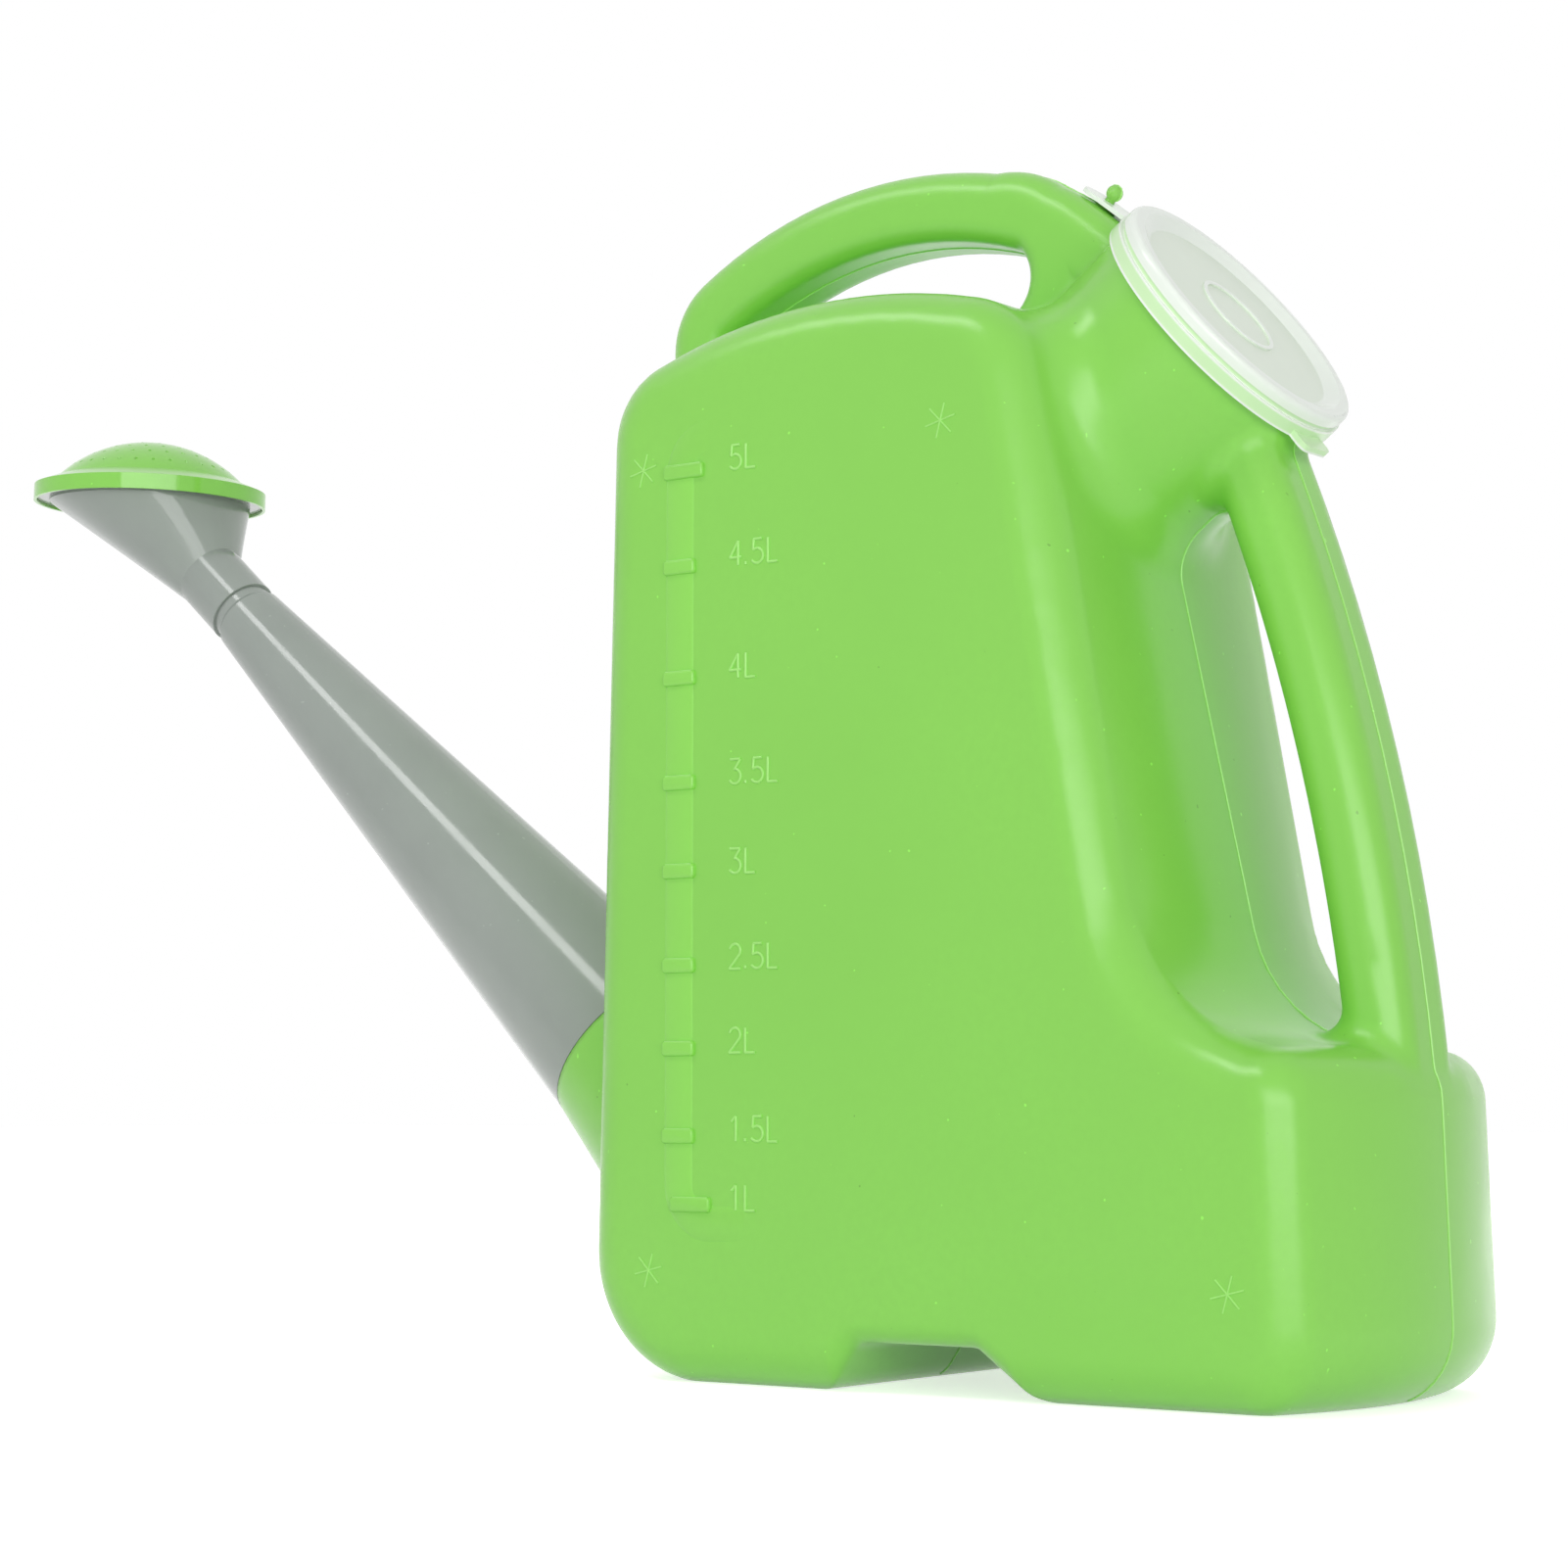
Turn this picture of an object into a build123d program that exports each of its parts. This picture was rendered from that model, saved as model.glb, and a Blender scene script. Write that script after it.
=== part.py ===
"""Plastic watering can with a clip-on rose, a push-on spout and a strapped filler lid.

Millimetres, +Z up.  The spout points to -X, the filler to +X, and the litre scale faces -Y.
The origin lies on the floor, below the middle of the whole can.
"""

import os
from math import atan2, cos, radians, sin, sqrt, tan

from build123d import *

# Tank: a blow-moulded boot, arched on top, with bulging front and rear walls
TANK_LENGTH = 240.0          # front wall to the back of the foot, on the mid-plane
TANK_WIDTH = 115.0           # over the two flat side panels
WALL = 2.2                   # blow-moulded wall
EDGE_RADIUS = 13.0           # rounding between the panels and the other walls
BASE_CUT = 0.5               # taken off the rounded base, so that it stands on flat pads
FRONT_BULGE = 10.0           # front wall on the mid-plane, ahead of its side edges
FRONT_LEAN = 8.5             # how far the side edges have gone back at the top
FOOT_BULGE = 15.0            # back of the foot on the mid-plane, behind its side edges
FOOT_LEAN = 3.0              # how far the back of the foot has come forward at its top
FOOT_TOP = 89.0              # top of the foot on the mid-plane
FOOT_DROP = 4.0              # how much lower the foot's rear corner is at the panels
COLUMN_ROOT = 192.0          # front wall to where the column's rear wall meets the foot's top
COLUMN_BULGE = 14.0          # that place on the mid-plane, behind the side edges
COLUMN_RISE = 8.0            # how much higher it is at the panels
COLUMN_LEAN = 11.7           # degrees that the rear wall leans forward on the mid-plane
COLUMN_SIDE_LEAN = 9.0       # the same at the panels
TOP_PEAK = 88.0              # highest point of the top, from the front wall
TOP_RADIUS = 176.0           # the top is arched along the can
TOP_FRONT_ROUND = 26.0
TOP_REAR_ROUND = 28.0
BOTTOM_FRONT_ROUND = 35.0
BOTTOM_REAR_ROUND = 20.0
FOOT_ROUND = 13.5            # top rear corner of the foot
COLUMN_ROUND = 38.0          # hollow of the rear wall above the foot, on the mid-plane
COLUMN_SIDE_ROUND = 50.0     # the same at the panels

# Notch across the base, between the two pads that the can stands on
NOTCH_FRONT = 88.0
NOTCH_REAR = 152.0
NOTCH_HEIGHT = 13.0
NOTCH_FRONT_SLOPE = 9.0
NOTCH_REAR_SLOPE = 18.0
NOTCH_ROUND = 6.0
NOTCH_FOOT_ROUND = 10.0      # where it meets the base
NOTCH_EDGE = 6.0             # flare where it meets the panels

# Filler neck, square to the lid
NECK_X = 177.4               # centre of the lid's lower edge, from the front wall
NECK_DROP = 13.0             # that centre, below the tank's top
NECK_RISE = 37.3             # degrees of the neck's axis above level, to the rear
NECK_RADIUS = 37.2
NECK_LIP = 5.5               # neck above the lid's lower edge
NECK_DEPTH = 62.0            # neck below it, down into the tank
NECK_BLEND = 14.0            # soft blend into the tank

# Top handle, a D-shaped bow from the front wall to the neck, and the leg behind its finger gap
BOW_WIDTH = 26.0
BOW_DEPTH = 20.0             # thickness of the bow, square to its line
BOW_PEAK = 82.0              # highest point of the bow, from the front wall
BOW_HEIGHT = 333.0           # the whole can's height
BOW_RISE = 43.0              # of that, above the tank's top
BOW_RADIUS = 132.0           # outer line over the hand
BOW_FRONT = 0.5              # bow's front, from the front wall
BOW_FRONT_ROUND = 24.0       # outer line at the bow's front corner
BOW_DIP = 54.0               # lower end of the bow, below the tank's top
BOW_OUTER_ROUND = 8.5
BOW_INNER_ROUND = 5.0
RAMP_START = 130.7           # where the bow turns down to the neck, from the front wall
RAMP_SLOPE = 39.0            # degrees below level
RAMP_LENGTH = 40.0
RAMP_BEND = 40.0
GAP_REAR = 124.5             # rear end of the finger gap, from the front wall
GAP_DROP = 35.0              # the gap's middle there, below the bow's highest point
GAP_ROUND = 11.5             # rounding of the gap's rear end
LEG_DEPTH = 20.0
BOW_BLEND = 8.0              # soft blend of the bow's front end into the tank
LEG_BLEND = 2.0              # and of its leg and ramp into the tank and the neck

# Rear handle, from the neck down to the foot
GRIP_WIDTH = 30.0
GRIP_DEPTH = 19.0            # thickness of the grip, square to its line
GRIP_ROUND = 8.0
GRIP_TOP_X = 193.2           # upper end of the grip's outer line, inside the neck
GRIP_TOP_DROP = 23.0         # that end, below the centre of the lid's lower edge
GRIP_LOW_Z = 60.0            # lower end of it, inside the foot
GRIP_LOW_AHEAD = 3.0         # that end, ahead of the back of the foot
GRIP_BOW = 8.8               # how far the outer line bows out between its ends
GRIP_BLEND = 6.5

# Lid, a soft moulding with a recessed middle, snapped over the neck's lip
LID_RADIUS = 39.6            # lower band
LID_BAND = 4.2               # height of that band
LID_WAIST_RADIUS = 38.6      # groove above the band
LID_WAIST = 1.3              # height of the groove
LID_RIM_RADIUS = 39.2        # rim above the groove
LID_HEIGHT = 8.8
LID_ROUND = 1.5              # top edge of the rim
LID_WALL = 1.4
LID_CLEARANCE = 0.4          # skirt around the neck
LID_LIP_GAP = 0.5            # lid above the neck's lip
LID_WELL_RADIUS = 31.4       # recessed middle
LID_WELL_FLARE = 3.8         # how much wider it is at the top
LID_WELL_DEPTH = 2.2
LID_RING_RADIUS = 12.5       # raised ring in the middle
LID_RING_WIDTH = 1.2
LID_RING_HEIGHT = 0.6
TAB_WIDTH = 14.0             # finger tab at the lid's low end
TAB_REACH = 5.0
TAB_THICKNESS = 2.0
LID_GAP = 0.8                # between the lid's lower edge and the top handle's ramp

# Strap that holds the lid, moulded with it, and the ball peg that holds the strap
HINGE_REACH = 0.5            # hinge line outside the lid's band
HINGE_GAP = 0.3              # the thin film of the hinge, left open
STRAP_WIDTH = 12.0
STRAP_THICKNESS = 1.2
STRAP_LENGTH = 21.0
PEG_DISTANCE = 13.0          # hinge line to the peg
PEG_RADIUS = 1.4
PEG_HOLE_CLEARANCE = 0.3
PEG_SEAT_RADIUS = 3.2        # the strap lies on this shoulder
BALL_RADIUS = 2.3
BALL_GAP = 0.3               # between the ball and the strap
PEG_ROOT = 5.0               # peg inside the top handle

# Spout, and the stub on the front wall that it is pushed over
SPOUT_X = -19.5              # centre of the seam between stub and tube, from the front wall
SPOUT_Z = 90.7
SPOUT_RISE = 41.0            # degrees of the spout's axis above level, to the front
SPOUT_RADIUS = 27.8          # tube at the seam
SPOUT_LENGTH = 214.0         # seam to the tube's upper shoulder
SPOUT_TOP_RADIUS = 11.4      # tube at that shoulder
SPOUT_WALL = 2.0
SEAM_GAP = 0.2
STUB_LENGTH = 58.0           # stub behind the seam, down into the tank
STUB_FLARE = 8.7             # how much wider the stub is at that end
STUB_NECK = 16.0             # stub inside the tube
STUB_CLEARANCE = 0.15
SHOULDER_LENGTH = 1.6        # eased edge of the shoulder
COLLAR_RADIUS = 10.4         # tube that shows between the shoulder and the rose's socket
COLLAR_LENGTH = 3.0
TIP_RADIUS = 9.05            # tube inside the socket
TIP_LENGTH = 16.0
TIP_WALL = 1.6

# Rose: a cup that turns on the tube's tip, and a domed face snapped over the cup's rim
SOCKET_RADIUS = 11.2
SOCKET_LENGTH = 22.9
SOCKET_CLEARANCE = 0.08
SHELF_RADIUS = 7.6           # hole in the shelf above the tube's tip
ROSE_REACH = 62.4            # centre of the rose's rim, beyond the tube's shoulder
ROSE_SET = 0.75              # that centre, above the tube's axis
ROSE_LEAN = 1.7              # degrees that the rose leans to the can
CUP_RADIUS = 33.0            # funnel at the rose's rim
CUP_WALL = 1.8
FLANGE_RADIUS = 36.8         # flange around the cup, inside the face's band
FLANGE_BASE = 0.9
FLANGE_TOP = 3.7
FACE_RADIUS = 38.0
FACE_BAND = 5.0              # upright band of the face
FACE_CLEARANCE = 0.2         # inside the band, around the cup
FACE_LEDGE = 4.0             # height of the ledge over the cup's flange
FACE_WALL = 1.6
SHOULDER_SLOPE = 0.4         # rise of the shoulder between the band and the dome
DOME_RADIUS = 30.5           # edge of the dome
DOME_HEIGHT = 20.8
JET_RADIUS = 0.6             # the small holes, in rings about a middle one
JET_SIDES = 6                # they are too small to need round walls
JET_RINGS = 5
JET_PITCH = 5.3              # between the rings
JETS_PER_RING = 6            # in the first ring, and more by as many in each later one

# Heights that follow the whole can's height
top_height = BOW_HEIGHT - BOW_RISE
neck_height = top_height - NECK_DROP
bow_root = top_height - BOW_DIP
gap_height = BOW_HEIGHT - GAP_DROP
grip_top = neck_height - GRIP_TOP_DROP

# The rose's rim follows the spout, and the whole can is centred over the origin
spout_turn = radians(SPOUT_RISE)
rose_distance = SPOUT_LENGTH + ROSE_REACH
rose_x = SPOUT_X - rose_distance * cos(spout_turn) + ROSE_SET * sin(spout_turn)
rose_z = SPOUT_Z + rose_distance * sin(spout_turn) + ROSE_SET * cos(spout_turn)
foot_angle = atan2(FOOT_LEAN, FOOT_TOP)
rear_reach = TANK_LENGTH + BOTTOM_REAR_ROUND * (1 - (1 + sin(foot_angle)) / cos(foot_angle))
front_reach = FACE_RADIUS * cos(radians(ROSE_LEAN)) - rose_x
FRONT_X = (front_reach - rear_reach) / 2


def side_plane(offset=0.0):
    """A plane along the can: x from the front wall, y up."""
    return Plane(origin=(FRONT_X, -offset, 0), x_dir=(1, 0, 0), z_dir=(0, -1, 0))


def heading_plane(x, z, heading):
    """A mid-plane sketch plane whose y runs along a heading, in degrees above +X."""
    turn = radians(heading)
    return Plane(origin=(FRONT_X + x, 0, z), x_dir=(sin(turn), 0, -cos(turn)), z_dir=(0, -1, 0))


def arch(x):
    """Height of the arched top at a distance from the front wall."""
    return top_height - TOP_RADIUS + sqrt(TOP_RADIUS**2 - (x - TOP_PEAK) ** 2)


def boot_corners(side):
    """Corners and corner radii of the tank's outline, on the mid-plane (0) or at a panel (1)."""
    front = side * FRONT_BULGE
    front_top = front + side * FRONT_LEAN
    rear = TANK_LENGTH - side * FOOT_BULGE
    root_x = COLUMN_ROOT - side * COLUMN_BULGE
    root_z = FOOT_TOP + side * COLUMN_RISE
    lean = COLUMN_LEAN + side * (COLUMN_SIDE_LEAN - COLUMN_LEAN)
    top_rear = root_x - (top_height - root_z) * tan(radians(lean))
    corners = [
        (front_top, arch(front_top)),
        (front, -BASE_CUT),
        (rear, -BASE_CUT),
        (rear - FOOT_LEAN, FOOT_TOP - side * FOOT_DROP),
        (root_x, root_z),
        (top_rear, arch(top_rear)),
    ]
    radii = [
        TOP_FRONT_ROUND,
        BOTTOM_FRONT_ROUND,
        BOTTOM_REAR_ROUND,
        FOOT_ROUND,
        COLUMN_ROUND + side * (COLUMN_SIDE_ROUND - COLUMN_ROUND),
        TOP_REAR_ROUND,
    ]
    return corners, radii


def base_cutter(inset):
    """What the flat base and the notch across it take away, flared where the notch meets the panels."""
    half = TANK_WIDTH / 2 - inset
    notch_top = [
        (NOTCH_FRONT + NOTCH_FRONT_SLOPE, NOTCH_HEIGHT),
        (NOTCH_REAR - NOTCH_REAR_SLOPE, NOTCH_HEIGHT),
    ]
    notch_foot = [(NOTCH_REAR, 0), (NOTCH_FRONT, 0)]
    below = [(TANK_LENGTH, 0), (TANK_LENGTH, -TANK_LENGTH), (0, -TANK_LENGTH), (0, 0)]
    with BuildPart() as solid:
        with BuildSketch(side_plane()) as outline:
            with BuildLine():
                Polyline(*notch_top, notch_foot[0], *below, notch_foot[1], close=True)
            make_face()
            for corners, radius in ((notch_top, NOTCH_ROUND), (notch_foot, NOTCH_FOOT_ROUND)):
                for corner in corners:
                    fillet(outline.vertices().sort_by_distance(corner)[0], radius)
            if inset:
                offset(amount=inset, mode=Mode.REPLACE)
        extrude(amount=half + WALL, both=True)
        for side in (-1, 1):
            with BuildSketch(side_plane(side * half)):
                with Locations(((NOTCH_FRONT + NOTCH_REAR) / 2, 0)):
                    Rectangle(2 * (NOTCH_REAR - NOTCH_FRONT), 2 * TANK_LENGTH)
            extrude(amount=2 * side * WALL)
            rim = solid.edges(Select.NEW).filter_by_position(Axis.Y, -half, half)
            fillet(rim.filter_by_position(Axis.Z, -NOTCH_EDGE, NOTCH_HEIGHT + NOTCH_EDGE), NOTCH_EDGE - inset)
    return solid.part


def boot(inset):
    """The boot-shaped tank, its skin moved in by an inset."""
    half = TANK_WIDTH / 2
    with BuildPart() as solid:
        for side in (-1, 0, 1):
            with BuildSketch(side_plane(side * (half - inset))) as outline:
                corners, radii = boot_corners(abs(side))
                with BuildLine():
                    Polyline(*corners)
                    RadiusArc(corners[-1], corners[0], -TOP_RADIUS)
                make_face()
                for corner, radius in zip(corners, radii):
                    fillet(outline.vertices().sort_by_distance(corner)[0], radius)
                if inset:
                    offset(amount=-inset, mode=Mode.REPLACE)
        loft()
        fillet(solid.faces().filter_by(Axis.Y).edges(), EDGE_RADIUS - inset)
        add(base_cutter(inset), mode=Mode.SUBTRACT)
    return solid.part


def bar(path, width, depth, outer_round, inner_round, inset):
    """A bar swept along a path on the mid-plane, with its outer side to the path's left."""
    with BuildPart() as solid:
        with BuildSketch(Plane(path @ 0, x_dir=(0, 1, 0), z_dir=path % 0)) as section:
            Rectangle(width, depth)
            fillet(section.vertices().group_by(Axis.Y)[-1], outer_round)
            fillet(section.vertices().group_by(Axis.Y)[0], inner_round)
            if inset:
                offset(amount=-inset, mode=Mode.REPLACE)
        sweep(path=path)
    return solid.part


def bow(inset):
    """The top handle and its leg, run on into the tank and the neck."""
    radius = BOW_RADIUS - BOW_DEPTH / 2
    front = BOW_FRONT + BOW_DEPTH / 2
    centre_z = BOW_HEIGHT - BOW_RADIUS
    corner = (front, centre_z + sqrt(radius**2 - (front - BOW_PEAK) ** 2))
    bend = (RAMP_START, centre_z + sqrt(radius**2 - (RAMP_START - BOW_PEAK) ** 2))
    slope = radians(RAMP_SLOPE)
    end = (bend[0] + RAMP_LENGTH * cos(slope), bend[1] - RAMP_LENGTH * sin(slope))
    with BuildLine(side_plane()) as over:
        Line((front, bow_root), corner)
        RadiusArc(corner, bend, radius)
        Line(bend, end)
        for point, bend_radius in ((corner, BOW_FRONT_ROUND - BOW_DEPTH / 2), (bend, RAMP_BEND)):
            place = side_plane().from_local_coords(point)
            fillet(over.vertices().sort_by_distance(place)[0], bend_radius)
    with BuildLine(side_plane()) as leg:
        CenterArc((GAP_REAR - GAP_ROUND, gap_height), GAP_ROUND + LEG_DEPTH / 2, 90, -180)
    over_bar = bar(over.wire(), BOW_WIDTH, BOW_DEPTH, BOW_OUTER_ROUND, BOW_INNER_ROUND, inset)
    leg_bar = bar(leg.wire(), BOW_WIDTH, LEG_DEPTH, BOW_OUTER_ROUND, BOW_INNER_ROUND, inset)
    lid_edge = heading_plane(NECK_X, neck_height, NECK_RISE)
    end_plane = Plane(lid_edge.origin, z_dir=lid_edge.y_dir).offset(-LID_GAP - inset)
    with BuildPart() as solid:
        add([over_bar, leg_bar])
        split(bisect_by=end_plane, keep=Keep.BOTTOM)
    return solid.part


def grip(inset):
    """The rear handle, run on into the neck and the foot."""
    inward = GRIP_DEPTH / 2
    top = (GRIP_TOP_X - inward, grip_top)
    low = (TANK_LENGTH - GRIP_LOW_AHEAD - inward, GRIP_LOW_Z)
    middle = ((top[0] + low[0]) / 2 + GRIP_BOW, (top[1] + low[1]) / 2)
    with BuildLine(side_plane()) as path:
        ThreePointArc(top, middle, low)
    return bar(path.wire(), GRIP_WIDTH, GRIP_DEPTH, GRIP_ROUND, GRIP_ROUND, inset)


def turned(place, points):
    """A solid of revolution about a plane's y axis, from (radius, height) points."""
    with BuildPart() as solid:
        with BuildSketch(place):
            with BuildLine():
                Polyline(*points, close=True)
            make_face()
        revolve(axis=Axis(place.origin, place.y_dir))
    return solid.part


neck_plane = heading_plane(NECK_X, neck_height, NECK_RISE)
spout_plane = heading_plane(SPOUT_X, SPOUT_Z, 180 - SPOUT_RISE)
rose_plane = heading_plane(rose_x, rose_z, 90 - ROSE_LEAN)
spout_taper = (SPOUT_RADIUS - SPOUT_TOP_RADIUS) / SPOUT_LENGTH
hinge_point = neck_plane.from_local_coords((-LID_RADIUS - HINGE_REACH, STRAP_THICKNESS))
ramp_turn = radians(RAMP_SLOPE)
strap_x = (-cos(ramp_turn), 0, sin(ramp_turn))
strap_plane = Plane(hinge_point, x_dir=strap_x, z_dir=(sin(ramp_turn), 0, cos(ramp_turn)))


def neck(inset):
    """The filler neck, run down into the tank."""
    radius = NECK_RADIUS - inset
    return turned(neck_plane, [(0, -NECK_DEPTH), (radius, -NECK_DEPTH), (radius, NECK_LIP), (0, NECK_LIP)])


def stub(inset):
    """The spout's stub, with the neck that the tube is pushed over."""
    shoulder = SPOUT_RADIUS - inset
    fit = SPOUT_RADIUS - SPOUT_WALL - STUB_CLEARANCE - inset
    points = [
        (0, -STUB_LENGTH),
        (shoulder + STUB_FLARE, -STUB_LENGTH),
        (shoulder, -inset),
        (fit, -inset),
        (fit - STUB_NECK * spout_taper, STUB_NECK),
        (0, STUB_NECK),
    ]
    return turned(spout_plane, points)


# Tank: the outer forms blended together, less the same forms moved in by the wall
with BuildPart() as peg:
    with BuildSketch(strap_plane.offset(-STRAP_THICKNESS)):
        with Locations((PEG_DISTANCE, 0)):
            Circle(PEG_SEAT_RADIUS)
    extrude(amount=-PEG_ROOT)
    with BuildSketch(strap_plane.offset(-STRAP_THICKNESS)):
        with Locations((PEG_DISTANCE, 0)):
            Circle(PEG_RADIUS)
    extrude(amount=STRAP_THICKNESS + BALL_GAP + BALL_RADIUS)
    with Locations(strap_plane.offset(BALL_GAP + BALL_RADIUS).from_local_coords((PEG_DISTANCE, 0))):
        Sphere(BALL_RADIUS)

with BuildPart() as tank_body:
    add(boot(0))
    add(neck(0))
    fillet(tank_body.edges(Select.NEW), NECK_BLEND)
    add(grip(0))
    fillet(tank_body.edges(Select.NEW), GRIP_BLEND)
    add(bow(0))
    bow_roots = tank_body.edges(Select.NEW).filter_by(GeomType.CIRCLE, reverse=True)
    front_roots = bow_roots.filter_by_position(Axis.X, FRONT_X, FRONT_X + BOW_PEAK)
    rear_roots = bow_roots.filter_by_position(Axis.X, FRONT_X + BOW_PEAK, FRONT_X + TANK_LENGTH)
    fillet(rear_roots, LEG_BLEND)
    fillet(front_roots, BOW_BLEND)
    add([stub(0), peg.part])
    add([boot(WALL), neck(WALL), grip(WALL), bow(WALL), stub(WALL)], mode=Mode.SUBTRACT)
tank_body.part.label = "tank_body"

# Spout: a tapered tube, open at both ends, with a reduced tip
tube_points = [
    (SPOUT_RADIUS - SEAM_GAP * spout_taper, SEAM_GAP),
    (SPOUT_TOP_RADIUS, SPOUT_LENGTH - SHOULDER_LENGTH),
    (COLLAR_RADIUS, SPOUT_LENGTH),
    (COLLAR_RADIUS, SPOUT_LENGTH + COLLAR_LENGTH),
    (TIP_RADIUS, SPOUT_LENGTH + COLLAR_LENGTH),
    (TIP_RADIUS, SPOUT_LENGTH + TIP_LENGTH),
    (TIP_RADIUS - TIP_WALL, SPOUT_LENGTH + TIP_LENGTH),
    (SPOUT_TOP_RADIUS - SPOUT_WALL - TIP_LENGTH * spout_taper, SPOUT_LENGTH),
    (SPOUT_RADIUS - SPOUT_WALL - SEAM_GAP * spout_taper, SEAM_GAP),
]
with BuildPart() as spout_tube:
    add(turned(spout_plane, tube_points))
spout_tube.part.label = "spout_tube"

# Rose cup: a socket on the tube's tip, a slanting funnel and a flange
socket_base = SPOUT_LENGTH + COLLAR_LENGTH + SEAM_GAP
socket_top = SPOUT_LENGTH + SOCKET_LENGTH


funnel_end = spout_plane.from_local_coords((0, socket_top))
funnel_base = Plane(funnel_end, x_dir=(0, 1, 0), z_dir=spout_plane.y_dir)
rim_plane = Plane(rose_plane.origin, x_dir=(0, 1, 0), z_dir=rose_plane.y_dir)


def funnel(inset):
    """The funnel between the socket and the rose's rim."""
    with BuildPart() as solid:
        with BuildSketch(funnel_base):
            Circle(SOCKET_RADIUS - inset)
        with BuildSketch(rim_plane):
            Circle(CUP_RADIUS - inset)
        loft(ruled=True)
    return solid.part


shelf_height = SPOUT_LENGTH + TIP_LENGTH + SEAM_GAP
bore = TIP_RADIUS + SOCKET_CLEARANCE
socket_points = [
    (bore, socket_base),
    (SOCKET_RADIUS, socket_base),
    (SOCKET_RADIUS, socket_top),
    (SHELF_RADIUS, socket_top),
    (SHELF_RADIUS, shelf_height),
    (bore, shelf_height),
]
flange_points = [
    (CUP_RADIUS - CUP_WALL, 0),
    (CUP_RADIUS, 0),
    (CUP_RADIUS, FLANGE_BASE),
    (FLANGE_RADIUS, FLANGE_BASE),
    (FLANGE_RADIUS, FLANGE_TOP),
    (CUP_RADIUS - CUP_WALL, FLANGE_TOP),
]
with BuildPart() as rose_cup:
    add(funnel(0))
    add(funnel(CUP_WALL), mode=Mode.SUBTRACT)
    add(turned(spout_plane, socket_points))
    add(turned(rose_plane, flange_points))
rose_cup.part.label = "rose_cup"

# Rose face: a dome with a band over the cup's flange, and rings of small holes
dome_edge = FACE_BAND + (FACE_RADIUS - DOME_RADIUS) * SHOULDER_SLOPE
dome_rise = DOME_HEIGHT - dome_edge
dome_curve = (DOME_RADIUS**2 + dome_rise**2) / (2 * dome_rise)
dome_centre = DOME_HEIGHT - dome_curve
with BuildPart() as rose_face:
    with BuildSketch(rose_plane) as profile:
        with BuildLine():
            Polyline((0, 0), (FACE_RADIUS, 0), (FACE_RADIUS, FACE_BAND), (DOME_RADIUS, dome_edge))
            RadiusArc((DOME_RADIUS, dome_edge), (0, DOME_HEIGHT), -dome_curve)
            Line((0, DOME_HEIGHT), (0, 0))
        make_face()
        with Locations((0, dome_centre)):
            Circle(dome_curve - FACE_WALL, mode=Mode.SUBTRACT)
        for width, height in ((JET_RADIUS, DOME_HEIGHT), (FLANGE_RADIUS + FACE_CLEARANCE, FACE_LEDGE)):
            Rectangle(width, height, align=(Align.MIN, Align.MIN), mode=Mode.SUBTRACT)
    revolve(axis=Axis(rose_plane.origin, rose_plane.y_dir))
    with BuildSketch(rim_plane):
        for ring in range(1, JET_RINGS + 1):
            with PolarLocations(ring * JET_PITCH, ring * JETS_PER_RING):
                RegularPolygon(JET_RADIUS, JET_SIDES)
    extrude(amount=DOME_HEIGHT, mode=Mode.SUBTRACT)
rose_face.part.label = "rose_face"

# Lid: a flanged cap with a recessed middle, a finger tab and the edge of its hinge
skirt_radius = NECK_RADIUS + LID_CLEARANCE
lip_height = NECK_LIP + LID_LIP_GAP
well_top = LID_HEIGHT - LID_WELL_DEPTH
well_base = well_top - LID_WALL
lid_points = [
    (skirt_radius, 0),
    (LID_RADIUS, 0),
    (LID_RADIUS, LID_BAND),
    (LID_WAIST_RADIUS, LID_BAND),
    (LID_WAIST_RADIUS, LID_BAND + LID_WAIST),
    (LID_RIM_RADIUS, LID_BAND + LID_WAIST),
    (LID_RIM_RADIUS, LID_HEIGHT),
    (LID_WELL_RADIUS + LID_WELL_FLARE, LID_HEIGHT),
    (LID_WELL_RADIUS, well_top),
    (0, well_top),
    (0, well_base),
    (LID_WELL_RADIUS + LID_WALL, well_base),
    (LID_WELL_RADIUS + LID_WALL, lip_height),
    (skirt_radius, lip_height),
]
lid_base = Plane(neck_plane.origin, x_dir=neck_plane.x_dir, z_dir=neck_plane.y_dir)
with BuildPart() as filler_lid:
    add(turned(neck_plane, lid_points))
    top_edges = filler_lid.edges().group_by(Axis(neck_plane.origin, neck_plane.y_dir))[-1]
    fillet(top_edges.sort_by(SortBy.RADIUS)[-1], LID_ROUND)
    with BuildSketch(lid_base.offset(well_top)):
        Circle(LID_RING_RADIUS)
        Circle(LID_RING_RADIUS - LID_RING_WIDTH, mode=Mode.SUBTRACT)
    extrude(amount=LID_RING_HEIGHT)
    with BuildSketch(lid_base) as tab:
        with Locations((LID_RADIUS, 0)):
            Rectangle(2 * TAB_REACH, TAB_WIDTH)
        fillet(tab.vertices().group_by(Axis.X)[-1], TAB_REACH / 2)
        Circle(skirt_radius, mode=Mode.SUBTRACT)
    extrude(amount=TAB_THICKNESS)
    with BuildSketch(lid_base):
        with Locations((-LID_RADIUS, 0)):
            Rectangle(2 * (HINGE_REACH - HINGE_GAP / 2), STRAP_WIDTH)
        Circle(LID_RADIUS, mode=Mode.SUBTRACT)
    extrude(amount=STRAP_THICKNESS)
filler_lid.part.label = "filler_lid"

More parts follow.
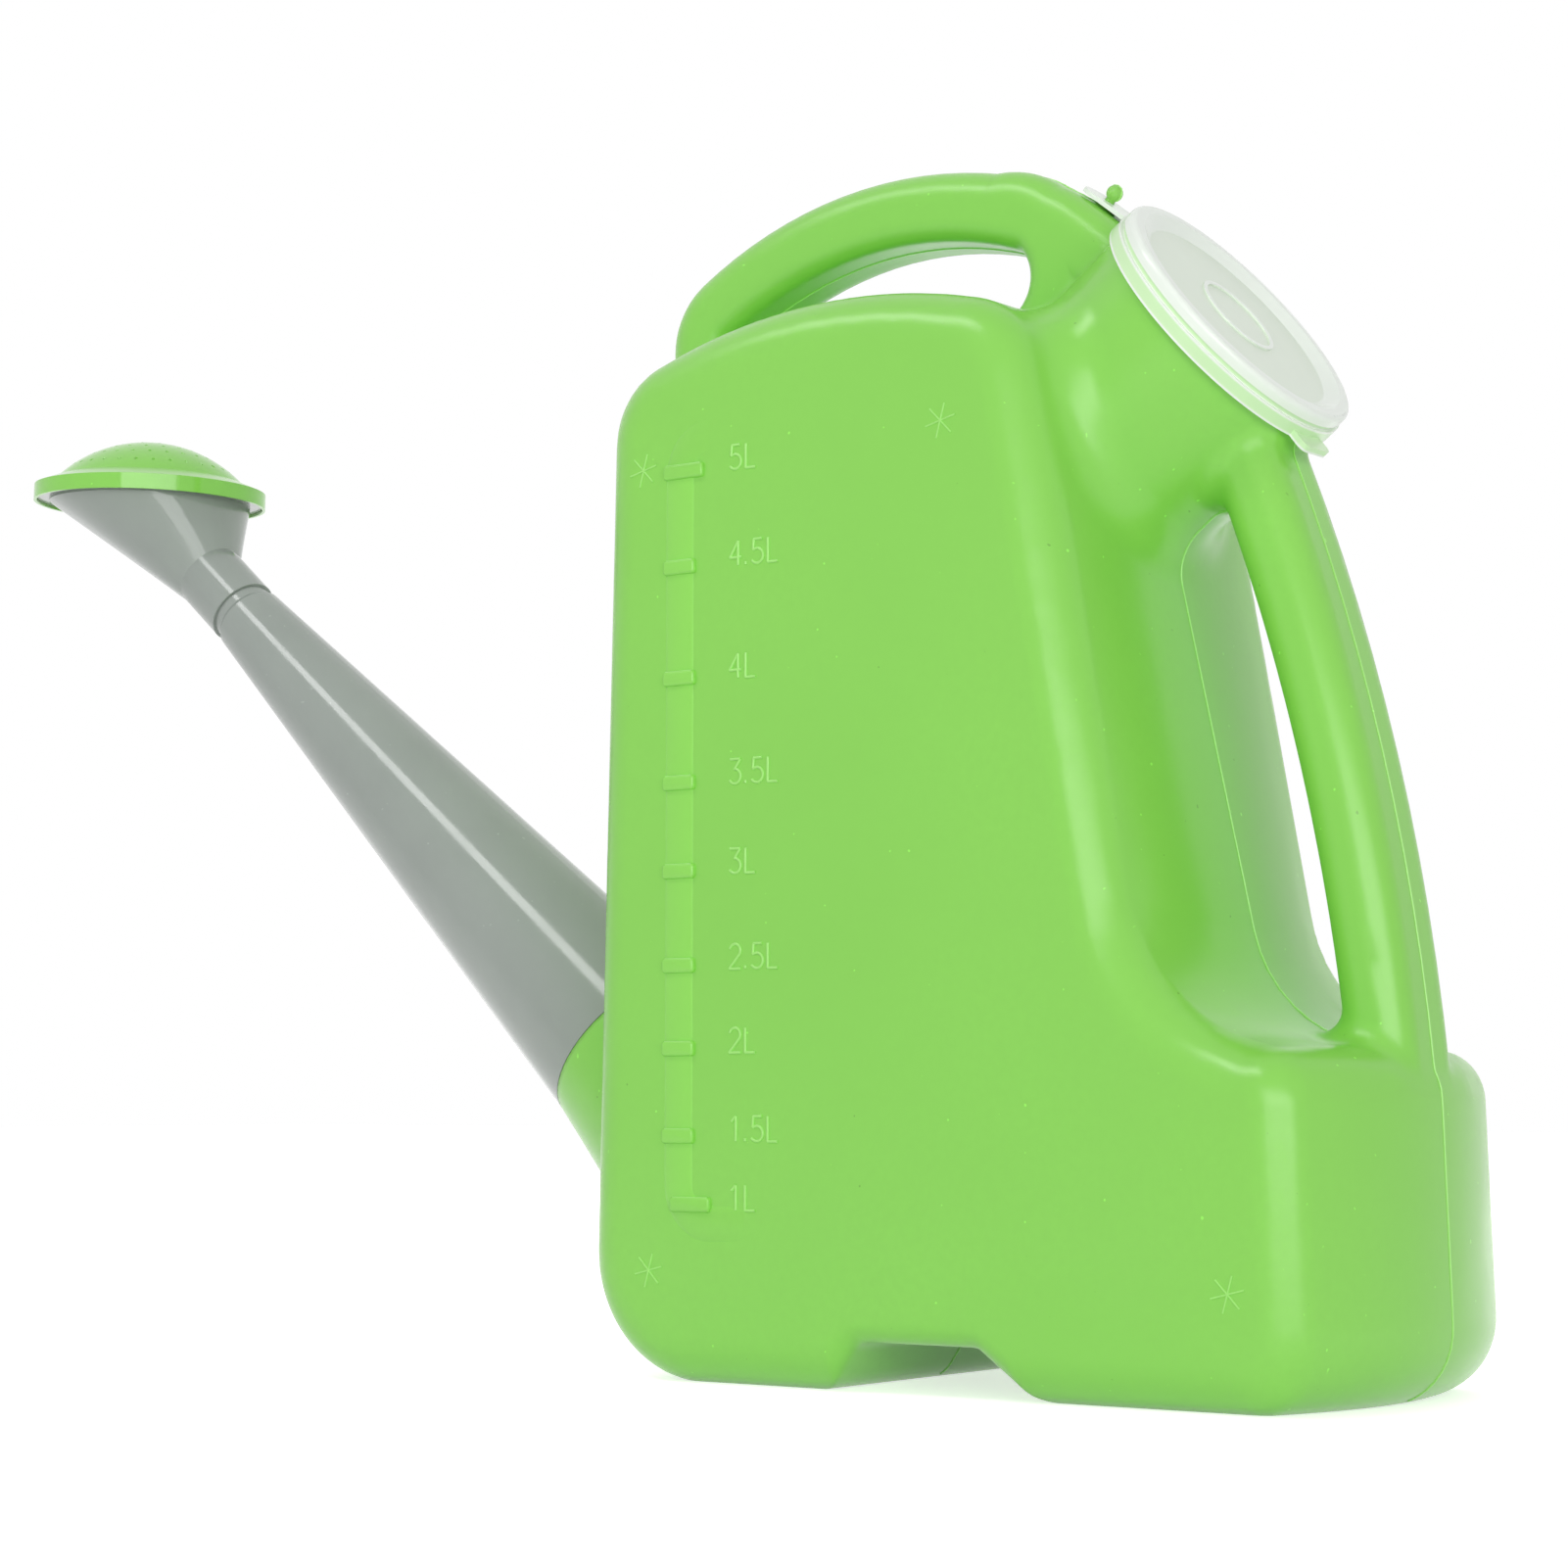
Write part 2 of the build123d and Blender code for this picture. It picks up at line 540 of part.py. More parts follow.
# Strap: a flat tongue with a hole for the peg
with BuildPart() as lid_strap:
    with BuildSketch(strap_plane) as tongue:
        with Locations(((STRAP_LENGTH + HINGE_GAP / 2) / 2, 0)):
            Rectangle(STRAP_LENGTH - HINGE_GAP / 2, STRAP_WIDTH)
        fillet(tongue.vertices().group_by(Axis.X)[-1], STRAP_WIDTH / 2 - PEG_HOLE_CLEARANCE)
        with Locations((PEG_DISTANCE, 0)):
            Circle(PEG_RADIUS + PEG_HOLE_CLEARANCE, mode=Mode.SUBTRACT)
    extrude(amount=-STRAP_THICKNESS)
lid_strap.part.label = "lid_strap"

os.makedirs("parts", exist_ok=True)
export_step(tank_body.part, "parts/tank_body.step")
export_step(spout_tube.part, "parts/spout_tube.step")
export_step(rose_cup.part, "parts/rose_cup.step")
export_step(rose_face.part, "parts/rose_face.step")
export_step(filler_lid.part, "parts/filler_lid.step")
export_step(lid_strap.part, "parts/lid_strap.step")
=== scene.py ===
"""Looks of a green plastic watering can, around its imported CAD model.

Metres, +Z up.  The spout points to -X, the filler to +X, and the litre scale faces -Y.
"""

import math

import bmesh
import bpy
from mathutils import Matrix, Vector
from mathutils.bvhtree import BVHTree


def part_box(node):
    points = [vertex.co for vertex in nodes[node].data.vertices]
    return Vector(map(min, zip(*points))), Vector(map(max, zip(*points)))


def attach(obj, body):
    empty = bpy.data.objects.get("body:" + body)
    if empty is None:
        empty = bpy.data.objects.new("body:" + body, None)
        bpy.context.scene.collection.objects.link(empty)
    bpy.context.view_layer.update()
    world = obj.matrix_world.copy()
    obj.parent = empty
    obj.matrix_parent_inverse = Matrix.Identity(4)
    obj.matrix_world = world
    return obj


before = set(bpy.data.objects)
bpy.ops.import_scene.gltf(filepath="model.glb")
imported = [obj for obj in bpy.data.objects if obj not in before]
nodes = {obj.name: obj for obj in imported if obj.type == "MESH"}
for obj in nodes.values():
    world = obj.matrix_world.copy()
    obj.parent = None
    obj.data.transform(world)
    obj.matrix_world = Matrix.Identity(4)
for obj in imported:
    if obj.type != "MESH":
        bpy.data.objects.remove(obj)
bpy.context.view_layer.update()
scene = bpy.context.scene

# Camera, as in the photograph
CAMERA_PLACE = Vector((0.6242, -0.7871, 0.0761))
CAMERA_HEADING = 36.22       # degrees, turned from +Y towards -X
CAMERA_PITCH = 5.22          # degrees above level
CAMERA_LENS = 78.7           # millimetres
CAMERA_SENSOR = 36.0         # millimetres wide

# Litre scale on the near panel: a strip, a bar and a ridge of painted highlight for each mark, and
# numerals
PANEL_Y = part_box("tank_body")[0][1]
SQUARE_TO_PANEL = Vector((0, 1, 0))
SINK = 0.0003                # how deep each raised mark sits in the panel
STRIP_X = 0.0547             # middle of the strip's upright part
STRIP_LOW = 0.0425           # its two ends, which turn to the right and fade into the panel
STRIP_HIGH = 0.2555
STRIP_TURN = 0.0105          # radius of the turns
STRIP_LOW_TAIL = 0.019       # lengths beyond the turns
STRIP_HIGH_TAIL = 0.007
STRIP_WIDTH = 0.0105
STRIP_EDGE = 0.0014          # width of its eased edges, and the step along it
STRIP_SHOULDER = 0.6         # part of its rise halfway across such an edge
STRIP_RISE = 0.0003
STRIP_FADE = 0.015           # length over which each end rises from the panel
STRIP_DEPTH = 2 * SINK       # its underside, below the panel
BAR_LEFT = 0.0494
BAR_RIGHT = 0.0602
BAR_SHIFTS = {               # how far the end bars' sides move with the strip's turns
    "5L": (0.0, 0.0028),
    "1L": (0.0028, 0.0056),
}
BAR_HEIGHT = 0.0042
BAR_RISE = 0.0012
# each bar's ridge is a painted highlight: a lighter rod where light glints on its top edge
HIGHLIGHT_RIDGE_RADIUS = 0.00032
PAD_EDGE = 0.0007
PAD_CORNER = 0.0010
PAD_STEPS = 4                # faces around each corner, and over each eased edge
MARKS = {                    # top edge of each bar
    "5L": 0.2483,
    "4.5L": 0.2220,
    "4L": 0.1915,
    "3.5L": 0.1630,
    "3L": 0.1390,
    "2.5L": 0.1135,
    "2L": 0.0912,
    "1.5L": 0.0678,
    "1L": 0.0496,
}
TEXT_LEFT = 0.0718
TEXT_HEIGHT = 0.0066
TEXT_DROP = 0.0033           # bottom of the numerals below the bar's top edge
TEXT_PITCH = 0.0053
POINT_PITCH = 0.0021
STROKE_RADIUS = 0.00042
ARC_STEPS = 12
ROD_SIDES = 8

# Star-shaped marks, and the bead where the mould's halves met
STARS = [(0.0419, 0.2479), (0.1399, 0.2505), (0.0446, 0.0297), (0.2211, 0.0291)]
STAR_RODS = 3
STAR_REACH = 0.0047
STAR_RADIUS = 0.00026
STAR_TURN = 14.0             # degrees
BEAD_RADIUS = 0.00028
BEAD_STEP = 0.0012
BEAD_SIDES = 6
JOIN_DIGITS = 6              # cut ends that agree to so many decimals are one point
SHARP_ANGLE = 50.0           # degrees between faces, from which a mark's edge stays sharp

# Colours, linear
GREEN = (0.262, 0.680, 0.094)
# painted highlight: a lighter green on the thin raised marks, for the light they catch
HIGHLIGHT_GREEN = (0.380, 0.825, 0.185)
GREY = (0.330, 0.366, 0.338)
MILKY = (0.90, 0.96, 0.89)
MILKY_EDGE = (0.95, 0.98, 0.94)
# painted show-through on the lid: the green neck seen through its thin band, and painted shade of
# the neck's inside in its well
MILKY_BAND = (0.66, 0.92, 0.54)
MILKY_WELL_PAINTED_SHADE = (0.78, 0.88, 0.74)
WHITE = (1.0, 1.0, 1.0, 1.0)

# Plastics.  A pattern is a noise's scale and detail, specks are a scale, a level and a
# brightness, and a bump is a strength and a distance.  Brightness multiplies the colour.
PLASTIC_IOR = 1.5
CREASE_RADIUS = 0.003
CREASE_SAMPLES = 4
SPECK_EDGE = 0.04            # how far above its level a speck has its full colour
TANK_CLOUDS = (11.0, 2.0)
TANK_CLOUD_SPREAD = 0.09     # of brightness, either way
TANK_GRAIN = (420.0, 1.0)
TANK_GRAIN_SHADE = 0.98
TANK_LIGHT_SPECKS = (520.0, 0.85, 1.30)
TANK_DARK_SPECKS = (610.0, 0.88, 0.72)
TANK_DRIFT = (30.0, 2.0)
TANK_ROUGHNESS = (0.20, 0.27)
TANK_SKIN_BUMP = (0.03, 0.0003)
TANK_WAVES = (38.0, 2.0)
TANK_WAVE_BUMP = (0.06, 0.0012)
STRIP_PALE_SHARE = 0.5
STRIP_PALE = 1.14
GLOSS_CLOUDS = (30.0, 4.0)
GLOSS_CLOUD_SPREAD = 0.08
GLOSS_DUST = (700.0, 0.85, 1.25)
GLOSS_SMEARS = (70.0, 6.0)
GLOSS_ROUGHNESS = (0.01, 0.23)
GLOSS_WAVES = (60.0, 2.0)
GLOSS_BUMP = (0.04, 0.0008)
MILKY_CLOUDS = (45.0, 3.0)
MILKY_CLOUD_SHARE = 0.06
MILKY_WAVES = (60.0, 2.0)
MILKY_ROUGHNESS = (0.15, 0.27)
MILKY_BUMP = (0.03, 0.0008)

# Lid: the centre of its lower edge, its axis, and its tints along the axis and inside its well,
# which paint the green neck showing through its band and the shade of the neck's inside in the well
LID_PLACE = (0.1905, 0.0, 0.2770)
LID_AXIS = (0.7955, 0.0, 0.6060)
LID_HEIGHT = 0.0088
LID_TINTS = [
    (0.0004, MILKY_EDGE),
    (0.0008, MILKY_BAND),
    (0.0034, MILKY_BAND),
    (0.0039, MILKY_EDGE),
    (0.0042, MILKY_EDGE),
    (0.0047, MILKY_BAND),
    (0.0053, MILKY_BAND),
    (0.0057, MILKY),
]
LID_WELL_RADIUS = 0.0316
LID_WELL_FULL = 0.98 * LID_WELL_RADIUS     # where the well's tint is complete
LID_RING_TOP = 0.0070
LID_RING_FULL = 0.97 * LID_RING_TOP

# Studio
FLOOR_REACH = 6.0            # from its middle to its sides
FLOOR_SHADES = ((0.86, 0.86, 0.86), (0.88, 0.88, 0.88))
FLOOR_CLOUDS = (3.0, 3.0)
FLOOR_ROUGHNESS = 0.7
FLOOR_GLOW = 0.645           # how much the floor's paleness is lifted where it shows
SURROUND = 0.42              # the surround's light on the can, where 1 is the white that shows
MIDDLE = (0.0, 0.0, 0.16)
LAMPS = [                    # name, place, target, width, height, watts, seen in gloss
    ("front", (1.28, -1.45, 0.42), MIDDLE, 2.1, 0.7, 16.0, True),
    ("top", (-0.50, -0.85, 1.46), (-0.50, 0.0, 0.16), 1.2, 0.25, 6.0, True),
    ("back", (-0.50, 1.70, 0.90), MIDDLE, 2.4, 1.2, 14.0, False),
]


def set_inputs(node, **values):
    """Sets a shader node's sockets by name, with _ for a space."""
    for name, value in values.items():
        node.inputs[name.replace("_", " ")].default_value = value


def material(name):
    """A new material, with its node tree, its shader and its object coordinates."""
    mat = bpy.data.materials.new(name)
    mat.use_nodes = True
    tree = mat.node_tree
    shader = tree.nodes["Principled BSDF"]
    place = tree.nodes.new("ShaderNodeTexCoord").outputs["Object"]
    return mat, tree, shader, place


def noise(tree, place, scale, detail):
    """A noise texture's value."""
    node = tree.nodes.new("ShaderNodeTexNoise")
    set_inputs(node, Scale=scale, Detail=detail)
    tree.links.new(place, node.inputs["Vector"])
    return node.outputs["Fac"]


def ramp(tree, value, low, high, out_low=0.0, out_high=1.0):
    """A value mapped from one range to another, and held at its ends."""
    node = tree.nodes.new("ShaderNodeMapRange")
    set_inputs(node, From_Min=low, From_Max=high, To_Min=out_low, To_Max=out_high)
    tree.links.new(value, node.inputs["Value"])
    return node.outputs["Result"]


def combine(tree, operation, first, second):
    """The result of a math node on two values."""
    node = tree.nodes.new("ShaderNodeMath")
    node.operation = operation
    tree.links.new(first, node.inputs[0])
    tree.links.new(second, node.inputs[1])
    return node.outputs[0]


def vectors(tree, operation, first, second=None):
    """The outputs of a vector math node on a socket and, where one is given, a fixed vector."""
    node = tree.nodes.new("ShaderNodeVectorMath")
    node.operation = operation
    tree.links.new(first, node.inputs[0])
    if second:
        node.inputs[1].default_value = second
    return node.outputs


def mix_colour(tree, factor, first, second):
    """A mix of two colours, each a tuple or a socket."""
    node = tree.nodes.new("ShaderNodeMix")
    node.data_type = "RGBA"
    tree.links.new(factor, node.inputs["Factor"])
    for key, colour in (("A", first), ("B", second)):
        socket = [s for s in node.inputs if s.name == key and s.type == "RGBA"][0]
        if isinstance(colour, tuple):
            socket.default_value = (*colour, 1.0)
        else:
            tree.links.new(colour, socket)
    return [s for s in node.outputs if s.type == "RGBA"][0]


def scaled(colour, brightness):
    """A colour made lighter or darker."""
    return tuple(min(1.0, channel * brightness) for channel in colour)


def clouded(tree, place, colour, pattern, spread):
    """A colour that is a little lighter and darker from place to place."""
    darkest, lightest = scaled(colour, 1 - spread), scaled(colour, 1 + spread)
    return mix_colour(tree, noise(tree, place, *pattern), darkest, lightest)


def specked(tree, place, below, colour, specks):
    """Small scattered specks over what is below, where a fine noise rises above a level."""
    scale, level, brightness = specks
    mask = ramp(tree, noise(tree, place, scale, 0.0), level, level + SPECK_EDGE)
    return mix_colour(tree, mask, below, scaled(colour, brightness))


def set_roughness(tree, shader, place, pattern, limits):
    """A roughness that drifts between two limits."""
    drift = ramp(tree, noise(tree, place, *pattern), 0.0, 1.0, *limits)
    tree.links.new(drift, shader.inputs["Roughness"])


def add_bump(tree, shader, place, pattern, bump, below=None):
    """A bump from a noise, on top of other normals where they are given."""
    strength, distance = bump
    node = tree.nodes.new("ShaderNodeBump")
    set_inputs(node, Strength=strength, Distance=distance)
    tree.links.new(noise(tree, place, *pattern), node.inputs["Height"])
    if below:
        tree.links.new(below, node.inputs["Normal"])
    tree.links.new(node.outputs["Normal"], shader.inputs["Normal"])
    return node.outputs["Normal"]


def soft_creases(tree):
    """Normals that run softly over the creases between blended forms."""
    node = tree.nodes.new("ShaderNodeBevel")
    node.samples = CREASE_SAMPLES
    set_inputs(node, Radius=CREASE_RADIUS)
    return node.outputs["Normal"]


def between_end_bars(tree, place):
    """1 along the litre scale, and 0 beyond its end bars."""
    split = tree.nodes.new("ShaderNodeSeparateXYZ")
    tree.links.new(place, split.inputs["Vector"])
    above = ramp(tree, split.outputs["Z"], MARKS["1L"] - BAR_HEIGHT, MARKS["1L"])
    below = ramp(tree, split.outputs["Z"], MARKS["5L"], MARKS["5L"] - BAR_HEIGHT)
    return combine(tree, "MULTIPLY", above, below)


def tank_plastic(name, colour, moulded_in_one=False, on_strip=False):
    """Satin blow-moulded plastic: faint clouds, a few specks and a fine orange-peel skin."""
    mat, tree, shader, place = material(name)
    clouds = clouded(tree, place, colour, TANK_CLOUDS, TANK_CLOUD_SPREAD)
    grain = noise(tree, place, *TANK_GRAIN)
    look = mix_colour(tree, grain, scaled(colour, TANK_GRAIN_SHADE), clouds)
    look = specked(tree, place, look, colour, TANK_LIGHT_SPECKS)
    look = specked(tree, place, look, colour, TANK_DARK_SPECKS)
    if on_strip:
        paler = ramp(tree, between_end_bars(tree, place), 0.0, 1.0, 0.0, STRIP_PALE_SHARE)
        look = mix_colour(tree, paler, look, scaled(colour, STRIP_PALE))
    tree.links.new(look, shader.inputs["Base Color"])
    set_roughness(tree, shader, place, TANK_DRIFT, TANK_ROUGHNESS)
    creases = soft_creases(tree) if moulded_in_one else None
    skin = add_bump(tree, shader, place, TANK_GRAIN, TANK_SKIN_BUMP, creases)
    add_bump(tree, shader, place, TANK_WAVES, TANK_WAVE_BUMP, skin)
    set_inputs(shader, IOR=PLASTIC_IOR)
    return mat


def gloss_plastic(name, colour):
    """Glossy injection-moulded plastic, with faint smears and a slightly wavy skin."""
    mat, tree, shader, place = material(name)
    clouds = clouded(tree, place, colour, GLOSS_CLOUDS, GLOSS_CLOUD_SPREAD)
    look = specked(tree, place, clouds, colour, GLOSS_DUST)
    tree.links.new(look, shader.inputs["Base Color"])
    set_roughness(tree, shader, place, GLOSS_SMEARS, GLOSS_ROUGHNESS)
    add_bump(tree, shader, place, GLOSS_WAVES, GLOSS_BUMP)
    set_inputs(shader, IOR=PLASTIC_IOR)
    return mat


def lid_painted_show_through(tree, place):
    """The lid's colour, with painted show-through: greener on its thin band, where the green neck
    would show through, grey-green painted shade inside its well, and whiter at its edges.
    """
    offset = vectors(tree, "SUBTRACT", place, LID_PLACE)["Vector"]
    height = vectors(tree, "DOT_PRODUCT", offset, LID_AXIS)["Value"]
    across = vectors(tree, "CROSS_PRODUCT", offset, LID_AXIS)["Vector"]
    reach = vectors(tree, "LENGTH", across)["Value"]
    bands = tree.nodes.new("ShaderNodeValToRGB")
    stops = bands.color_ramp.elements
    while len(stops) < len(LID_TINTS):
        stops.new(1.0)
    for stop, (level, colour) in zip(stops, LID_TINTS):
        stop.position = level / LID_HEIGHT
        stop.color = (*colour, 1.0)
    tree.links.new(ramp(tree, height, 0.0, LID_HEIGHT), bands.inputs["Fac"])
    inside = ramp(tree, reach, LID_WELL_RADIUS, LID_WELL_FULL)
    sunk = ramp(tree, height, LID_RING_TOP, LID_RING_FULL)
    in_well = combine(tree, "MULTIPLY", inside, sunk)
    return mix_colour(tree, in_well, bands.outputs["Color"], MILKY_WELL_PAINTED_SHADE)


def milky_plastic(name, painted_show_through=False):
    """Soft milky plastic with faint clouds; on the lid, painted show-through of the green neck on
    its band and painted shade in its well.
    """
    mat, tree, shader, place = material(name)
    clouds = ramp(tree, noise(tree, place, *MILKY_CLOUDS), 0.0, 1.0, 0.0, MILKY_CLOUD_SHARE)
    colour = lid_painted_show_through(tree, place) if painted_show_through else MILKY
    look = mix_colour(tree, clouds, colour, MILKY_BAND)
    tree.links.new(look, shader.inputs["Base Color"])
    set_roughness(tree, shader, place, MILKY_WAVES, MILKY_ROUGHNESS)
    add_bump(tree, shader, place, MILKY_WAVES, MILKY_BUMP)
    set_inputs(shader, IOR=PLASTIC_IOR)
    return mat


def dress(node, mat):
    """Gives a CAD node a material."""
    mesh = nodes[node].data
    mesh.materials.clear()
    mesh.materials.append(mat)


green = tank_plastic("tank_green", GREEN, moulded_in_one=True)
strip_green = tank_plastic("tank_green_strip", GREEN, on_strip=True)
highlight_green = tank_plastic("tank_green_painted_highlight", HIGHLIGHT_GREEN)
grey = gloss_plastic("spout_grey", GREY)
rose_green = gloss_plastic("rose_green", GREEN)
lid_milky = milky_plastic("lid_milky", painted_show_through=True)
strap_milky = milky_plastic("strap_milky")
dress("tank_body", green)
dress("spout_tube", grey)
dress("rose_cup", grey)
dress("rose_face", rose_green)
dress("filler_lid", lid_milky)
dress("lid_strap", strap_milky)


def on_panel(x, z, rise=0.0):
    """A point on the near panel, or that far in front of it."""
    return Vector((x, PANEL_Y - rise, z))


def mark(name, build, mat):
    """Turns a built mesh into a piece of the tank."""
    bmesh.ops.recalc_face_normals(build, faces=build.faces[:])
    mesh = bpy.data.meshes.new(name)
    build.to_mesh(mesh)
    build.free()
    mesh.shade_smooth()
    mesh.set_sharp_from_angle(angle=math.radians(SHARP_ANGLE))
    mesh.materials.append(mat)
    piece = bpy.data.objects.new(name, mesh)
    scene.collection.objects.link(piece)
    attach(piece, "tank")


def join_rings(build, rings):
    """Closes a row of rings of points into one skin, with a face on each end."""
    loops = [[build.verts.new(point) for point in ring] for ring in rings]
    for first, second in zip(loops, loops[1:]):
        for index in range(len(first)):
            build.faces.new((first[index - 1], first[index], second[index], second[index - 1]))
    build.faces.new(loops[0])
    build.faces.new(loops[-1])


def add_rod(build, points, radius, sides=ROD_SIDES):
    """A thin rod along points in a plane that runs along the near panel."""
    rings = []
    last = len(points) - 1
    turns = [2 * math.pi * side / sides for side in range(sides)]
    for index, point in enumerate(points):
        along = (points[min(index + 1, last)] - points[max(index - 1, 0)]).normalized()
        across = along.cross(SQUARE_TO_PANEL)
        spokes = [math.cos(turn) * SQUARE_TO_PANEL + math.sin(turn) * across for turn in turns]
        rings.append([point + radius * spoke for spoke in spokes])
    join_rings(build, rings)


def add_pad(build, left, right, low, high, rise):
    """A raised pad with round corners and eased edges."""
    turns = [math.pi / 2 * step / PAD_STEPS for step in range(PAD_STEPS + 1)]
    layers = [(0.0, -SINK)]
    layers += [(PAD_EDGE * (1 - math.cos(turn)), rise * math.sin(turn)) for turn in turns]
    corners = ((right, high), (left, high), (left, low), (right, low))
    rings = []
    for inset, lift in layers:
        radius = PAD_CORNER - inset
        ring = []
        for quarter, (x, z) in enumerate(corners):
            middle_x = x - math.copysign(PAD_CORNER, x - (left + right) / 2)
            middle_z = z - math.copysign(PAD_CORNER, z - (low + high) / 2)
            for step in range(PAD_STEPS + 1):
                turn = math.pi / 2 * (quarter + step / PAD_STEPS)
                out_x, out_z = radius * math.cos(turn), radius * math.sin(turn)
                ring.append(on_panel(middle_x + out_x, middle_z + out_z, lift))
        rings.append(ring)
    join_rings(build, rings)


def arc(x, z, reach_x, reach_z, start, end):
    """Points on an upright oval, between two angles in degrees."""
    turns = [start + (end - start) * step / ARC_STEPS for step in range(ARC_STEPS + 1)]
    turns = [math.radians(turn) for turn in turns]
    return [(x + reach_x * math.cos(turn), z + reach_z * math.sin(turn)) for turn in turns]


# Strokes of each sign, for a height of 1
GLYPHS = {
    "1": [[(0.12, 0.78), (0.34, 1.0)], [(0.34, 1.0), (0.34, 0.0)]],
    "2": [arc(0.29, 0.72, 0.27, 0.28, 165, -30) + [(0.0, 0.0)], [(0.0, 0.0), (0.58, 0.0)]],
    "3": [
        [(0.03, 1.0), (0.55, 1.0)],
        [(0.55, 1.0), (0.26, 0.60)],
        arc(0.27, 0.30, 0.30, 0.30, 95, -150),
    ],
    "4": [[(0.42, 0.0), (0.42, 1.0)], [(0.42, 1.0), (0.0, 0.33)], [(0.0, 0.33), (0.6, 0.33)]],
    "5": [
        [(0.52, 1.0), (0.10, 1.0)],
        [(0.10, 1.0), (0.06, 0.56)],
        arc(0.26, 0.31, 0.31, 0.31, 130, -145),
    ],
    "L": [[(0.0, 1.0), (0.0, 0.0)], [(0.0, 0.0), (0.5, 0.0)]],
    ".": [[(0.0, 0.0), (0.0, 0.12)]],
}


def strip_path():
    """Close points along the middle of the strip, from its low tail to its high one."""
    turn_x = STRIP_X + STRIP_TURN
    corners = [
        (turn_x + STRIP_LOW_TAIL, STRIP_LOW),
        *arc(turn_x, STRIP_LOW + STRIP_TURN, STRIP_TURN, STRIP_TURN, 270, 180),
        *arc(turn_x, STRIP_HIGH - STRIP_TURN, STRIP_TURN, STRIP_TURN, 180, 90),
        (turn_x + STRIP_HIGH_TAIL, STRIP_HIGH),
    ]
    corners = [Vector(corner) for corner in corners]
    path = []
    for first, second in zip(corners, corners[1:]):
        count = max(1, round((second - first).length / STRIP_EDGE))
        path += [first.lerp(second, step / count) for step in range(count)]
    path.append(corners[-1])
    return path


def litre_strip():
    """The raised strip, whose ends turn to the right and fade into the panel."""
    path = strip_path()
    length = sum((second - first).length for first, second in zip(path, path[1:]))
    half = STRIP_WIDTH / 2
    profile = [(-half, 0.0), (STRIP_EDGE / 2 - half, STRIP_SHOULDER), (STRIP_EDGE - half, 1.0)]
    profile += [(-offset, part) for offset, part in reversed(profile)]
    rings = []
    gone = 0.0
    last = len(path) - 1
    for index, point in enumerate(path):
        before, after = path[max(index - 1, 0)], path[min(index + 1, last)]
        gone += (point - before).length
        along = (after - before).normalized()
        side = Vector((along.y, -along.x))
        fade = min(1.0, gone / STRIP_FADE, (length - gone) / STRIP_FADE)
        height = fade * (STRIP_RISE + SINK)
        levels = [(offset, height * part - SINK) for offset, part in profile]
        levels += [(half, -STRIP_DEPTH), (-half, -STRIP_DEPTH)]
        ring = [on_panel(*(point + side * offset), level) for offset, level in levels]
        rings.append(ring)
    build = bmesh.new()
    join_rings(build, rings)
    mark("litre_strip", build, strip_green)


def litre_bars():
    """A raised bar on the strip for each mark, with a fine lighter ridge along its top edge: a
    painted highlight where light glints on that edge.
    """
    build = bmesh.new()
    highlight_ridges = bmesh.new()
    for words, top in MARKS.items():
        shift_left, shift_right = BAR_SHIFTS.get(words, (0.0, 0.0))
        left, right = BAR_LEFT + shift_left, BAR_RIGHT + shift_right
        add_pad(build, left, right, top - BAR_HEIGHT, top, BAR_RISE)
        ends = (left + PAD_CORNER, right - PAD_CORNER)
        ridge = [on_panel(x, top - HIGHLIGHT_RIDGE_RADIUS, BAR_RISE / 2) for x in ends]
        add_rod(highlight_ridges, ridge, HIGHLIGHT_RIDGE_RADIUS)
    mark("litre_bars", build, strip_green)
    mark("bar_highlight_ridges", highlight_ridges, highlight_green)


def litre_numerals():
    """Fine raised numerals beside the bars, in the lighter green of painted highlight."""
    build = bmesh.new()
    for words, top in MARKS.items():
        x, z = TEXT_LEFT, top - TEXT_DROP
        for sign in words:
            for stroke in GLYPHS[sign]:
                points = [(x + TEXT_HEIGHT * right, z + TEXT_HEIGHT * up) for right, up in stroke]
                add_rod(build, [on_panel(*point) for point in points], STROKE_RADIUS)
            x += POINT_PITCH if sign == "." else TEXT_PITCH
    mark("litre_numerals", build, highlight_green)


def star_marks():
    """Small raised stars, each of a few thin rods that cross, in the lighter green of painted
    highlight.
    """
    build = bmesh.new()
    for x, z in STARS:
        for rod in range(STAR_RODS):
            turn = math.radians(STAR_TURN + 180 / STAR_RODS * rod)
            out_x, out_z = STAR_REACH * math.cos(turn), STAR_REACH * math.sin(turn)
            ends = [on_panel(x - out_x, z - out_z), on_panel(x + out_x, z + out_z)]
            add_rod(build, ends, STAR_RADIUS)
    mark("star_marks", build, highlight_green)


def surface(node):
    """A CAD node's surface, for finding its nearest point."""
    mesh = nodes[node].data
    points = [vert.co for vert in mesh.vertices]
    return BVHTree.FromPolygons(points, [face.vertices[:] for face in mesh.polygons])


